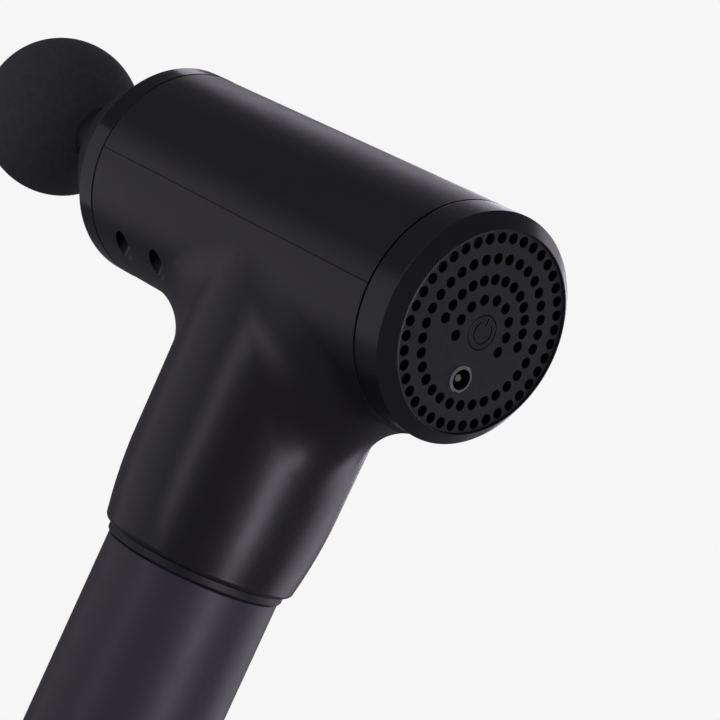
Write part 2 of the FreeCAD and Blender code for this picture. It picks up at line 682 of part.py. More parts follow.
def make_nose_seal():
    """Rubber lip that keeps dust out of the nose's opening."""
    return turned("nose_seal", "H_Axis", [
        ("nose_tip - seal_width", "seal_lip + edge_break"),
        ("nose_tip + seal_proud / 2", "seal_lip"),
        ("nose_tip + seal_proud", "seal_lip + edge_break"),
        ("nose_tip + seal_proud", "nose_opening + seal_foot"),
        ("nose_tip", "nose_opening + seal_foot"),
        ("nose_tip", "nose_opening"),
        ("nose_tip - nose_wall", "nose_opening"),
        ("nose_tip - nose_wall", "nose_opening + seal_foot"),
        ("nose_tip - seal_width", "nose_opening + seal_foot"),
    ])


# ---------------------------------------------------------------- rear ring and what it holds


def make_rear_ring():
    """Bevelled ring round the grille, with a spigot inside the casing."""
    return turned("rear_ring", "H_Axis", [
        ("casing_rear + spigot_length", "rear_bore"),
        ("casing_rear + spigot_length", "barrel_radius - wall - fit_gap"),
        ("casing_rear - rear_gap", "barrel_radius - wall - fit_gap"),
        ("casing_rear - rear_gap", "barrel_radius - rear_edge"),
        ("casing_rear - rear_gap - rear_edge", "barrel_radius"),
        ("rear_band_end", "barrel_radius"),
        ("rear_end", "rear_bevel_radius"),
        ("rear_end", "disc_radius + slip_gap"),
        ("disc_rear + disc_thickness", "disc_radius + slip_gap"),
        ("disc_rear + disc_thickness", "disc_radius - disc_ledge"),
        ("disc_rear + disc_thickness + disc_ledge_depth", "disc_radius - disc_ledge"),
        ("disc_rear + disc_thickness + disc_ledge_depth", "rear_bore"),
    ])


def hole_ring(body, letter, start, count, span):
    """One ring of grille holes, the first of them at (across, up)."""
    sketch = new_sketch(body, "YZ_Plane", "disc_rear + disc_thickness + cut_past")
    circle(sketch, "hole_radius", *start)
    hole = pocket(body, sketch, "disc_thickness + 2 * cut_past")
    return around(body, [hole], sketch, count, span)


def make_grille_disc():
    """Rear disc with its rings of holes, the button's hole and the jack's hole."""
    body = new_body("grille_disc")
    sketch = circle(new_sketch(body, "YZ_Plane", "disc_rear"), "disc_radius")
    pad(body, sketch, "disc_thickness")
    ahead = "disc_rear + disc_thickness + cut_past"
    holes = circle(new_sketch(body, "YZ_Plane", ahead), "button_radius + button_gap")
    circle(holes, "jack_ring_radius + slip_gap", "0", "jack_z")
    pocket(body, holes, "disc_thickness + 2 * cut_past")
    step = circle(new_sketch(body, "YZ_Plane", ahead), "button_radius + button_flange + button_gap")
    pocket(body, step, "disc_thickness / 2 + cut_past")
    hole_ring(body, "a", ("0", "-ring_a_radius"), "ring_a_count", "360")
    hole_ring(body, "b", ("0", "-ring_b_radius"), "ring_b_count", "360")
    hole_ring(body, "c", ("ring_c_radius", "0"), "ring_c_count", "ring_c_span")
    half_gap = "(360 - ring_d_span) / 2"
    start = (f"ring_d_radius * sin({half_gap})", f"-ring_d_radius * cos({half_gap})")
    hole_ring(body, "d", start, "ring_d_count", "ring_d_span")
    return body


def make_power_button():
    """Round cap with a flange behind the disc and an engraved power symbol."""
    body = turned("power_button", "H_Axis", [
        ("disc_rear - button_proud", "0"),
        ("disc_rear - button_proud", "button_radius - edge_break"),
        ("disc_rear - button_proud + edge_break", "button_radius"),
        ("disc_rear + disc_thickness / 2 + slip_gap", "button_radius"),
        ("disc_rear + disc_thickness / 2 + slip_gap", "button_radius + button_flange"),
        ("disc_rear + disc_thickness", "button_radius + button_flange"),
        ("button_back", "button_radius - button_flange"),
        ("button_back", "0"),
    ])
    face = "disc_rear - button_proud + symbol_depth"
    ring = circle(new_sketch(body, "YZ_Plane", face), "symbol_radius + symbol_line / 2")
    circle(ring, "symbol_radius - symbol_line / 2")
    pocket(body, ring, "symbol_depth + cut_past")
    opening = new_sketch(body, "YZ_Plane", face)
    rectangle(opening, "-symbol_gap", "symbol_gap", "symbol_radius / 2", "symbol_radius + symbol_line")
    pad(body, opening, "symbol_depth", backwards=True)
    bar = new_sketch(body, "YZ_Plane", face)
    rectangle(bar, "-symbol_line / 2", "symbol_line / 2", "symbol_bar_low", "symbol_bar_high")
    pocket(body, bar, "symbol_depth + cut_past")
    return body


def make_switch():
    """Push switch on the control board, behind the button."""
    body = new_body("button_switch")
    case = new_sketch(body, "YZ_Plane", f"{REAR_OF_BOARD} - switch_height")
    rectangle(case, "-switch_side / 2", "switch_side / 2", "-switch_side / 2", "switch_side / 2")
    pad(body, case, "switch_height")
    stem = circle(new_sketch(body, "YZ_Plane", "button_back + switch_travel + end_gap"), "switch_stem_radius")
    pad(body, stem, f"{REAR_OF_BOARD} - button_back - switch_travel - end_gap")
    return body


def make_jack():
    """Charging jack: a bright ring, a square case and the centre pin."""
    ring = turned_at_jack("dc_jack_ring", [
        ("jack_ring_rear", "jack_bore_radius"),
        ("jack_ring_rear", "jack_ring_radius - edge_break"),
        ("jack_ring_rear + edge_break", "jack_ring_radius"),
        ("disc_rear + disc_thickness + jack_step", "jack_ring_radius"),
        ("disc_rear + disc_thickness + jack_step", "jack_bore_radius"),
    ])
    case = new_body("dc_jack_case", "axis_height + jack_z")
    side = "jack_body_side / 2"
    face = rectangle(new_sketch(case, "YZ_Plane", JACK_CASE_REAR), "-" + side, side, "-" + side, side)
    pad(case, face, f"{REAR_OF_BOARD} - ({JACK_CASE_REAR})")
    hole = circle(new_sketch(case, "YZ_Plane", "jack_ring_rear + jack_depth"), "jack_bore_radius")
    pocket(case, hole, "jack_depth")
    pin = turned_at_jack("dc_jack_pin", [
        ("jack_ring_rear + jack_pin_recess", "0"),
        ("jack_ring_rear + jack_pin_recess", "jack_pin_radius - edge_break"),
        ("jack_ring_rear + jack_pin_recess + edge_break", "jack_pin_radius"),
        ("jack_ring_rear + jack_depth", "jack_pin_radius"),
        ("jack_ring_rear + jack_depth", "0"),
    ])
    return [ring, case, pin]


def turned_at_jack(label, corners):
    """A piece turned about the jack's own axis."""
    return turned(label, "H_Axis", corners, "axis_height + jack_z")


def make_control_board():
    """Circuit board that carries the switch and the jack."""
    body = new_body("control_board")
    sketch = new_sketch(body, "YZ_Plane", REAR_OF_BOARD)
    rectangle(sketch, "-board_width / 2", "board_width / 2", "board_low", "board_high")
    board = pad(body, sketch, "board_thickness")
    doc.recompute()
    corners = [f"Edge{i}" for i, edge in enumerate(board.Shape.Edges, start=1) if runs_along_x(edge)]
    rounded = body.newObject("PartDesign::Fillet", "control_board_corners")
    rounded.Base = (board, corners)
    bind(rounded, Radius="board_corner")
    return body


def runs_along_x(edge):
    """True for an edge parallel to X."""
    span = edge.Vertexes[-1].Point - edge.Vertexes[0].Point
    return abs(span.x) > TOLERANCE and abs(span.y) + abs(span.z) < TOLERANCE


def make_fan_frame():
    """Round fan housing with three arms that carry the hub motor."""
    body = tube_along_x("fan_frame", "fan_rear", "fan_front", "fan_outer", "fan_inner")
    arm = new_sketch(body, "YZ_Plane", "fan_front - fan_arm_depth")
    rectangle(arm, "-fan_arm_width / 2", "fan_arm_width / 2", "0", "(fan_inner + fan_outer) / 2")
    bar = pad(body, arm, "fan_arm_depth")
    around(body, [bar], arm, "fan_arm_count")
    hub = circle(new_sketch(body, "YZ_Plane", "fan_front - fan_arm_depth"), "fan_motor_radius")
    pad(body, hub, "fan_arm_depth")
    hole = circle(new_sketch(body, "YZ_Plane", "fan_front + cut_past"), "fan_shaft_radius + running_gap")
    pocket(body, hole, "fan_arm_depth + 2 * cut_past")
    return body


def make_fan_shaft():
    """Steel shaft of the fan wheel, which turns in the frame's hub."""
    body = new_body("fan_shaft")
    sketch = circle(new_sketch(body, "YZ_Plane", "fan_rear + fan_shaft_inset"), "fan_shaft_radius")
    pad(body, sketch, "fan_front - fan_rear - fan_shaft_inset - end_gap")
    return body


def make_fan_impeller():
    """Fan wheel: a round hub with pitched blades."""
    body = new_body("fan_impeller")
    hub = circle(new_sketch(body, "YZ_Plane", "fan_rear + fan_hub_inset"), "fan_hub")
    pad(body, hub, "fan_front - fan_rear - fan_arm_depth - fan_hub_inset - fan_hub_gap")
    blade = new_sketch(body, "XY_Plane", "fan_hub - cut_past")
    behind = "fan_rear + fan_blade_inset"
    ahead = "fan_front - fan_arm_depth - fan_blade_inset"
    outline(blade, [
        (behind, "-fan_blade_lean - fan_blade_thickness / 2"),
        (ahead, "fan_blade_lean - fan_blade_thickness / 2"),
        (ahead, "fan_blade_lean + fan_blade_thickness / 2"),
        (behind, "-fan_blade_lean + fan_blade_thickness / 2"),
    ])
    reach = "sqrt(fan_blade_tip ^ 2 - (fan_blade_lean + fan_blade_thickness / 2) ^ 2)"
    wing = pad(body, blade, f"{reach} - fan_hub + cut_past")
    around(body, [wing], hub, "fan_blade_count")
    bore = circle(new_sketch(body, "YZ_Plane", "fan_front"), "fan_shaft_radius + press_gap")
    pocket(body, bore, "fan_front - fan_rear - fan_shaft_inset")
    return body


# ---------------------------------------------------------------- motor


def make_motor_bracket():
    """Plate that hangs the motor under the crank."""
    body = new_body("motor_bracket")
    plate = circle(new_sketch(body, "XY_Plane", "bracket_top - bracket_thickness"), "bracket_radius")
    pad(body, plate, "bracket_thickness")
    hole = circle(new_sketch(body, "XY_Plane", "bracket_top + cut_past"), "bracket_hole")
    pocket(body, hole, "bracket_thickness + 2 * cut_past")
    above = "bracket_top + cut_past"
    pitch = "motor_screw_pitch"
    drill = circle(new_sketch(body, "XY_Plane", above), "motor_screw_radius + fit_gap", pitch)
    through = pocket(body, drill, "bracket_thickness + 2 * cut_past")
    seat = circle(new_sketch(body, "XY_Plane", above), "motor_screw_head + fit_gap", pitch)
    sink = pocket(body, seat, "motor_screw_head_height + cut_past")
    around(body, [through, sink], drill, "motor_screw_count")
    return body


def make_motor_base():
    """Fixed foot of the motor with the tube that holds its bearings."""
    top = "bracket_top - bracket_thickness"
    body = turned("motor_base", "V_Axis", [
        ("bearing_outer", "stator_bottom"),
        ("bearing_tube_radius", "stator_bottom"),
        ("bearing_tube_radius", f"{top} - motor_base_height"),
        ("motor_base_radius", f"{top} - motor_base_height"),
        ("motor_base_radius", top),
        ("bearing_outer", top),
    ])
    above = new_sketch(body, "XY_Plane", top + " + cut_past")
    drill = circle(above, "motor_screw_radius + press_gap", "motor_screw_pitch")
    hole = pocket(body, drill, "motor_base_height + 2 * cut_past")
    around(body, [hole], drill, "motor_screw_count")
    return body


def make_motor_bearings():
    """Two ball bearings on the motor shaft."""
    body = new_body("motor_bearings")
    for low in ("bracket_top - bracket_thickness - bearing_width - end_gap", "stator_bottom + end_gap"):
        ring = circle(new_sketch(body, "XY_Plane", low), "bearing_outer - press_gap")
        circle(ring, "shaft_radius + running_gap")
        pad(body, ring, "bearing_width")
    return body


def make_motor_stator():
    """Stator core: a ring with wound teeth."""
    body = new_body("motor_stator")
    core = circle(new_sketch(body, "XY_Plane", "stator_bottom"), "stator_hub_radius")
    circle(core, "bearing_tube_radius + press_gap")
    pad(body, core, "stator_top - stator_bottom")
    tooth = new_sketch(body, "XY_Plane", "stator_bottom")
    root = "(bearing_tube_radius + stator_hub_radius) / 2"
    rectangle(tooth, root, "tooth_tip", "-tooth_half_width", "tooth_half_width")
    post = pad(body, tooth, "stator_top - stator_bottom")
    shoe = new_sketch(body, "XY_Plane", "stator_bottom")
    rectangle(shoe, "tooth_foot", "tooth_tip", "-tooth_foot_half_width", "tooth_foot_half_width")
    tip = pad(body, shoe, "stator_top - stator_bottom")
    around(body, [post, tip], core, "stator_teeth")
    return body


def make_motor_windings():
    """Copper coils on both sides of each stator tooth."""
    body = new_body("motor_windings")
    slabs = []
    beside = "tooth_half_width + slip_gap"
    for low in (beside, f"-({beside} + coil_thickness)"):
        coil = new_sketch(body, "XY_Plane", "stator_bottom + coil_inset")
        rectangle(coil, "coil_inner", "coil_outer", low, f"{low} + coil_thickness")
        slabs.append(pad(body, coil, "stator_top - stator_bottom - 2 * coil_inset"))
    around(body, slabs, coil, "stator_teeth")
    return body


def make_motor_bell():
    """Rotating bell of the motor, closed at the bottom."""
    return turned("motor_bell", "V_Axis", [
        ("shaft_radius + press_gap", "bell_bottom"),
        ("bell_radius", "bell_bottom"),
        ("bell_radius", "bell_top"),
        ("bell_radius - bell_wall", "bell_top"),
        ("bell_radius - bell_wall", "bell_bottom + bell_floor"),
        ("shaft_radius + press_gap", "bell_bottom + bell_floor"),
    ])


def make_motor_magnets():
    """Curved magnets inside the bell."""
    body = new_body("motor_magnets")
    inner = "bell_radius - bell_wall - magnet_depth"
    outer = "bell_radius - bell_wall"
    half = "magnet_half_angle"
    sketch = new_sketch(body, "XY_Plane", "bell_bottom + bell_floor + magnet_inset")
    outline(sketch, [
        (f"({outer}) * cos({half})", f"-({outer}) * sin({half})", outer, 1),
        (f"({outer}) * cos({half})", f"({outer}) * sin({half})"),
        (f"({inner}) * cos({half})", f"({inner}) * sin({half})", inner, -1),
        (f"({inner}) * cos({half})", f"-({inner}) * sin({half})"),
    ])
    magnet = pad(body, sketch, "bell_top - bell_bottom - bell_floor - 2 * magnet_inset")
    around(body, [magnet], sketch, "magnet_count")
    return body


def make_motor_shaft():
    """Motor shaft, from the bell up to the crank."""
    body = new_body("motor_shaft")
    sketch = circle(new_sketch(body, "XY_Plane", "bell_bottom"), "shaft_radius")
    pad(body, sketch, "shaft_top - bell_bottom")
    return body


# ---------------------------------------------------------------- crank and rod


def make_crank_disc():
    """Disc on the motor shaft that carries the crank pin."""
    body = new_body("crank_disc")
    sketch = circle(new_sketch(body, "XY_Plane", "crank_bottom"), "crank_radius")
    pad(body, sketch, "crank_top - crank_bottom")
    below = circle(new_sketch(body, "XY_Plane", "shaft_top"), "shaft_radius + press_gap")
    pocket(body, below, "shaft_top - crank_bottom + cut_past")
    above = new_sketch(body, "XY_Plane", "crank_top + cut_past")
    circle(above, "pin_radius + press_gap", "-crank_throw")
    pocket(body, above, "crank_top - pin_bottom + cut_past")
    return body


def make_counterweight():
    """Half ring opposite the crank pin that balances the piston."""
    body = new_body("counterweight")
    outer = "weight_radius"
    inner = "crank_radius + press_gap"
    half = "weight_half_angle"
    sketch = new_sketch(body, "XY_Plane", "crank_bottom")
    outline(sketch, [
        (f"({outer}) * cos({half})", f"-({outer}) * sin({half})", outer, 1),
        (f"({outer}) * cos({half})", f"({outer}) * sin({half})"),
        (f"({inner}) * cos({half})", f"({inner}) * sin({half})", inner, -1),
        (f"({inner}) * cos({half})", f"-({inner}) * sin({half})"),
    ])
    pad(body, sketch, "crank_top - crank_bottom")
    return body


def make_crank_pin():
    """Upright pin that drives the rod."""
    body = new_body("crank_pin")
    sketch = circle(new_sketch(body, "XY_Plane", "pin_bottom"), "pin_radius", "-crank_throw")
    pad(body, sketch, "pin_top - pin_bottom")
    return body


def make_crank_clip():
    """Clip that keeps the rod on the crank pin."""
    body = new_body("crank_clip")
    sketch = new_sketch(body, "XY_Plane", "rod_top + 2 * end_gap")
    circle(sketch, "pin_radius + clip_width", "-crank_throw")
    circle(sketch, "pin_radius + press_gap", "-crank_throw")
    pad(body, sketch, "clip_thickness")
    return body


def make_crank_bearing():
    """Ball bearing between the crank pin and the rod."""
    body = new_body("crank_bearing")
    sketch = circle(new_sketch(body, "XY_Plane", "rod_bottom"), "rod_bearing_radius", "-crank_throw")
    circle(sketch, "pin_radius + running_gap", "-crank_throw")
    pad(body, sketch, "rod_top - rod_bottom")
    return body


def make_connecting_rod():
    """Flat rod from the crank pin to the piston."""
    body = new_body("connecting_rod")
    big = circle(new_sketch(body, "XY_Plane", "rod_bottom"), "rod_big_radius", "-crank_throw")
    pad(body, big, "rod_top - rod_bottom")
    small = circle(new_sketch(body, "XY_Plane", "rod_bottom"), "rod_small_radius", WRIST_X)
    pad(body, small, "rod_top - rod_bottom")
    shank = new_sketch(body, "XY_Plane", "rod_bottom")
    rectangle(shank, "-crank_throw", WRIST_X, "-rod_waist", "rod_waist")
    pad(body, shank, "rod_top - rod_bottom")
    holes = new_sketch(body, "XY_Plane", "rod_top + cut_past")
    circle(holes, "rod_bearing_radius + press_gap", "-crank_throw")
    circle(holes, "wrist_hole_radius", WRIST_X)
    pocket(body, holes, "rod_top - rod_bottom + 2 * cut_past")
    return body


# ---------------------------------------------------------------- piston and guide


def make_wrist_pin():
    """Upright pin in the piston's tongue."""
    body = new_body("wrist_pin")
    sketch = circle(new_sketch(body, "XY_Plane", "tongue_bottom"), "wrist_pin_radius", WRIST_X)
    pad(body, sketch, "wrist_pin_top - tongue_bottom")
    return body


def make_piston():
    """Sliding shaft with a flat tongue behind and the head's socket in front."""
    body = turned("piston_shaft", "H_Axis", [
        ("piston_rear", "0"),
        ("piston_rear", "piston_radius - shaft_chamfer"),
        ("piston_rear + shaft_chamfer", "piston_radius"),
        ("socket_rear", "piston_radius"),
        ("socket_rear + socket_cone", "socket_radius"),
        ("socket_front - shaft_chamfer", "socket_radius"),
        ("socket_front", "socket_radius - shaft_chamfer"),
        ("socket_front", "socket_bore"),
        ("socket_floor", "socket_bore"),
        ("socket_floor", "0"),
    ])
    tongue = new_sketch(body, "XY_Plane", "tongue_bottom")
    rectangle(tongue, "tongue_rear", "piston_rear + 2 * cut_past", "-tongue_half_width", "tongue_half_width")
    pad(body, tongue, "tongue_top - tongue_bottom")
    hole = new_sketch(body, "XY_Plane", "tongue_top + cut_past")
    circle(hole, "wrist_pin_radius + press_gap", WRIST_X)
    pocket(body, hole, "tongue_top - tongue_bottom + 2 * cut_past")
    return body


def make_guide_block():
    """Tube that guides the piston, with a flange against the front ring."""
    body = turned("guide_block", "H_Axis", [
        ("guide_rear", "guide_bore"),
        ("guide_rear", "guide_radius"),
        ("flange_rear", "guide_radius"),
        ("flange_rear", "flange_radius"),
        ("flange_rear + flange_thickness", "flange_radius"),
        ("flange_rear + flange_thickness", "guide_radius"),
        ("guide_front", "guide_radius"),
        ("guide_front", "guide_bore"),
    ])
    ahead = new_sketch(body, "YZ_Plane", "flange_rear + flange_thickness + cut_past")
    hole = circle(ahead, "screw_radius + fit_gap", "0", "guide_screw_pitch")
    cut = pocket(body, hole, "flange_thickness + 2 * cut_past")
    around(body, [cut], hole, "guide_screw_count")
    return body


def make_bushes():
    """Two plain bushes pressed into the guide tube."""
    body = new_body("shaft_bushes")
    for rear in ("guide_rear + bush_inset", "guide_front - bush_length - bush_inset"):
        ring = circle(new_sketch(body, "YZ_Plane", rear), "guide_bore - press_gap")
        circle(ring, "piston_radius + running_gap")
        pad(body, ring, "bush_length")
    return body


# ---------------------------------------------------------------- ball head


def make_head_stem():
    """Plastic stem of the ball head, with two grooves for O-rings."""
    corners = [
        ("stem_rear", "0"),
        ("stem_rear", "stem_radius - stem_chamfer"),
        ("stem_rear + stem_chamfer", "stem_radius"),
    ]
    for centre in ("oring_first_x", "oring_second_x"):
        corners += [
            (f"{centre} - oring_width / 2", "stem_radius"),
            (f"{centre} - oring_width / 2", "stem_radius - oring_groove"),
            (f"{centre} + oring_width / 2", "stem_radius - oring_groove"),
            (f"{centre} + oring_width / 2", "stem_radius"),
        ]
    corners += [
        ("hub_rear", "stem_radius"),
        ("hub_rear", "hub_radius - shaft_chamfer"),
        ("hub_rear + shaft_chamfer", "hub_radius"),
        ("hub_front", "hub_radius"),
        ("hub_front", "core_radius"),
        ("core_disc_rear", "core_radius"),
        ("core_disc_rear", "core_disc_radius"),
        ("core_front", "core_disc_radius"),
        ("core_front", "0"),
    ]
    return turned("head_stem", "H_Axis", corners)


def make_o_rings():
    """Two rubber rings that grip the socket."""
    body = new_body("head_o_rings")
    for centre in ("oring_first_x", "oring_second_x"):
        ring = new_sketch(body, "YZ_Plane", f"{centre} - oring_width / 2 + end_gap")
        circle(ring, "stem_radius + oring_proud")
        circle(ring, "stem_radius - oring_groove")
        pad(body, ring, "oring_width - 2 * end_gap")
    return body


def make_ball_head():
    """Foam ball moulded round the stem."""
    ball = primitive("Sphere", "ball_sphere", Radius="ball_radius")
    bind(ball, Placement__Base__x="ball_x")
    core = fuse("ball_core", [
        barrel_rod("ball_core_hub", "hub_radius", "hub_rear", "hub_front"),
        barrel_rod("ball_core_stem", "core_radius", "hub_front", "core_disc_rear"),
        barrel_rod("ball_core_disc", "core_disc_radius", "core_disc_rear", "core_front"),
    ])
    head = combine("Cut", "ball_head", ball, core)
    return bind(head, Placement__Base__z="axis_height")


# ---------------------------------------------------------------- handle, from its base up


def make_neck_ring():
    """Ring between the neck and the grip."""
    return turned("neck_ring", "V_Axis", [
        ("liner_radius + slip_gap", "collar_bottom"),
        ("collar_radius - collar_edge", "collar_bottom", "collar_edge", 1),
        ("collar_radius", "collar_bottom + collar_edge"),
        ("collar_radius", "collar_top"),
        ("liner_radius + slip_gap", "collar_top"),
    ], "0")


def make_grip_sleeve():
    """Soft round sleeve that the hand holds."""
    return turned("grip_sleeve", "V_Axis", [
        ("liner_radius + slip_gap", "grip_bottom"),
        ("grip_radius - edge_break", "grip_bottom"),
        ("grip_radius", "grip_bottom + edge_break"),
        ("grip_radius", "grip_top - edge_break"),
        ("grip_radius - edge_break", "grip_top"),
        ("liner_radius + slip_gap", "grip_top"),
    ], "0")


def make_handle_liner():
    """Stiff tube inside the grip that joins the base to the neck."""
    inner = "liner_radius - liner_wall"
    return tube_along_z("handle_liner", "cap_top", "liner_top", "liner_radius", inner, "0")


def make_base_cap():
    """Cap at the bottom of the handle, hollowed for the foot pad."""
    body = turned("base_cap", "V_Axis", [
        ("0", "pad_thickness"),
        ("pad_radius + end_gap", "pad_thickness"),
        ("pad_radius + end_gap", "cap_bottom"),
        ("grip_radius - cap_edge", "cap_bottom", "cap_edge", 1),
        ("grip_radius", "cap_bottom + cap_edge"),
        ("grip_radius", "cap_top - edge_break"),
        ("grip_radius - edge_break", "cap_top"),
        ("0", "cap_top"),
    ], "0")
    drill = new_sketch(body, "XY_Plane", "cap_top + cut_past")
    circle(drill, "screw_hole_radius", "base_screw_pitch")
    through = pocket(body, drill, "cap_top")
    seat = "pad_thickness + screw_head_height"
    well = circle(new_sketch(body, "XY_Plane", seat), "screw_head_radius + fit_gap", "base_screw_pitch")
    sink = pocket(body, well, "screw_head_height + cut_past")
    around(body, [through, sink], drill, "base_screw_count")
    return body


def make_foot_pad():
    """Rubber disc that the gun stands on."""
    return turned("foot_pad", "V_Axis", [
        ("0", "0"),
        ("pad_radius - pad_edge", "0"),
        ("pad_radius", "pad_edge"),
        ("pad_radius", "pad_thickness"),
        ("0", "pad_thickness"),
    ], "0")


# ---------------------------------------------------------------- battery


def make_cells():
    """Six round cells in two layers of three."""
    body = new_body("battery_cells", "0")
    layers = []
    for low in ("lower_cells", "upper_cells"):
        sketch = circle(new_sketch(body, "XY_Plane", low), "cell_radius", "cell_pitch")
        layers.append(pad(body, sketch, "cell_length"))
    around(body, layers, sketch, "cells_per_layer")
    return body


def make_cell_holders():
    """Plates that keep the cells apart: below, between and above the layers."""
    body = new_body("cell_holders", "0")
    above_lower = "lower_cells + cell_length + strap_thickness + slip_gap"
    above_upper = "upper_cells + cell_length + strap_thickness + slip_gap"
    plates = (
        ("cap_top + end_gap", "lower_cells - strap_thickness - slip_gap"),
        (above_lower, "upper_cells - strap_thickness - slip_gap"),
        (above_upper, f"{above_upper} + holder_cap"),
    )
    for low, high in plates:
        pad(body, circle(new_sketch(body, "XY_Plane", low), "holder_radius"), f"{high} - ({low})")
    drill = new_sketch(body, "XY_Plane", "base_screw_tip + end_gap")
    circle(drill, "screw_radius + press_gap", "base_screw_pitch")
    hole = pocket(body, drill, "base_screw_tip - cap_top")
    around(body, [hole], drill, "base_screw_count")
    return body


def make_cell_straps():
    """Nickel straps welded across the cells' ends."""
    body = new_body("cell_straps", "0")
    for low in ("lower_cells - strap_thickness", "lower_cells + cell_length",
                "upper_cells - strap_thickness", "upper_cells + cell_length"):
        sketch = new_sketch(body, "XY_Plane", low)
        rectangle(sketch, "-cell_pitch", "cell_pitch + strap_overhang", "-strap_width / 2", "strap_width / 2")
        pad(body, sketch, "strap_thickness")
    return body


# ---------------------------------------------------------------- screws


def screw(body, plane, across, up, seat, head, tip, radii=("screw_head_radius", "screw_radius")):
    """One screw along the plane's normal: its head ends at the seat, its shank goes on to the tip."""
    cap = circle(new_sketch(body, plane, f"{seat} - ({head})"), radii[0], across, up)
    shank = circle(new_sketch(body, plane, seat), radii[1], across, up)
    return cap, [pad(body, cap, head), pad(body, shank, f"({tip}) - ({seat})")]


def make_shell_screws():
    """Four screws that hold the half shells together, entered from below."""
    body = new_body("shell_screws")
    for x in ("boss_front_x", "boss_rear_x"):
        for y in ("boss_y", "-boss_y"):
            screw(body, "XY_Plane", x, y, "screw_seat", "screw_head_height", "screw_tip")
    return body


def make_guide_screws():
    """Three screws through the guide flange into the nose cover."""
    body = new_body("guide_screws")
    sketch, features = screw(body, "YZ_Plane", "0", "guide_screw_pitch",
                             "flange_rear", "guide_screw_head", "guide_screw_tip")
    around(body, features, sketch, "guide_screw_count")
    return body


def make_motor_screws():
    """Three screws that hold the motor's foot to the bracket, heads sunk in its top."""
    body = new_body("motor_screws")
    cap = circle(new_sketch(body, "XY_Plane", "bracket_top - motor_screw_head_height"), "motor_screw_head",
                 "motor_screw_pitch")
    shank_low = "bracket_top - bracket_thickness - motor_base_height"
    shank = circle(new_sketch(body, "XY_Plane", shank_low), "motor_screw_radius", "motor_screw_pitch")
    features = [pad(body, cap, "motor_screw_head_height - end_gap")]
    features.append(pad(body, shank, "bracket_thickness + motor_base_height - motor_screw_head_height"))
    around(body, features, cap, "motor_screw_count")
    return body


def make_base_screws():
    """Three screws that hold the base cap, hidden under the foot pad."""
    body = new_body("base_screws", "0")
    sketch, features = screw(body, "XY_Plane", "base_screw_pitch", "0", "pad_thickness + screw_head_height",
                             "screw_head_height - end_gap", "base_screw_tip")
    around(body, features, sketch, "base_screw_count")
    return body


REAR_OF_BOARD = "board_front - board_thickness"
JACK_CASE_REAR = "disc_rear + disc_thickness + jack_step"
WRIST_X = "rod_length - crank_throw"


def make_everything():
    """Every piece of the gun."""
    makers = (
        make_upper_shell, make_lower_shell, make_front_ring, make_nose_cover, make_nose_seal,
        make_rear_ring, make_grille_disc, make_power_button, make_switch, make_jack,
        make_control_board, make_fan_frame, make_fan_impeller, make_fan_shaft, make_motor_bracket,
        make_motor_base, make_motor_bearings, make_motor_stator, make_motor_windings,
        make_motor_bell, make_motor_magnets, make_motor_shaft, make_crank_disc, make_counterweight,
        make_crank_pin, make_crank_clip, make_crank_bearing, make_connecting_rod, make_wrist_pin,
        make_piston, make_guide_block, make_bushes, make_head_stem, make_o_rings, make_ball_head,
        make_neck_ring, make_grip_sleeve, make_handle_liner, make_base_cap, make_foot_pad,
        make_cells, make_cell_holders, make_cell_straps, make_shell_screws, make_guide_screws,
        make_motor_screws, make_base_screws,
    )
    pieces = []
    for maker in makers:
        made = maker()
        pieces += made if isinstance(made, list) else [made]
    return pieces


def check(pieces):
    """Stop if any object failed or any piece has no valid shape."""
    faults = [item.Name for item in doc.Objects if {"Invalid", "Error"} & set(item.State)]
    for piece in pieces:
        if piece.Shape.isNull() or not piece.Shape.isValid() or not piece.Shape.Solids:
            faults.append(piece.Label + " has no valid shape")
    if faults:
        raise RuntimeError("failed: " + ", ".join(faults))


def export(pieces):
    """Write each piece to parts/LABEL.step."""
    os.makedirs("parts", exist_ok=True)
    for piece in pieces:
        piece.Shape.exportStep(os.path.join("parts", piece.Label + ".step"))
        print(piece.Label, len(piece.Shape.Solids), round(piece.Shape.Volume))


pieces = make_everything()
doc.recompute()
check(pieces)
export(pieces)
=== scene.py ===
"""Looks of the massage gun: materials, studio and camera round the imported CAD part.

Each material slot of the part has its own function below, made only of procedural
nodes in metres. The studio is a pale floor, a pale surround and a few soft boxes.
All positions are in metres in the part's own frame: the handle stands on z = 0 and
the barrel lies along X at the height AXIS_HEIGHT.
"""

import json
import math

import bpy
from mathutils import Matrix, Vector

AXIS_HEIGHT = 0.209

# The camera looks at the barrel from behind and a little above, and leans to its left.
CAMERA_LENS = 133.1
CAMERA_SENSOR = 36.0
CAMERA_AZIMUTH = 226.213
CAMERA_ELEVATION = 4.107
CAMERA_ROLL = 24.693
CAMERA_DISTANCE = 0.71133
CAMERA_ACROSS = 0.00662
CAMERA_UP = -0.02745
CAMERA_NEAREST = 0.01

LAMP_COLOR = (1.0, 0.955, 1.08)
BACKDROP_LIGHT = 0.923
ROOM_LIGHT = 0.11
WHITE = (1.0, 1.0, 1.0)

# The floor is a round sheet that is clear from FLOOR_FADE_END outwards.
FLOOR_RADIUS = 0.5
FLOOR_SIDES = 64
FLOOR_DROP = 0.0001
FLOOR_COLOR = (0.85, 0.85, 0.85)
FLOOR_FADE_START = 0.08
FLOOR_FADE_END = 0.26

# Nearly all of a noise texture's values lie between these two.
NOISE_LOW = 0.3
NOISE_HIGH = 0.7

# Patches of tint in a metal are this many times as wide as its tool marks.
METAL_CLOUD = 12


# ---------------------------------------------------------------- node helpers


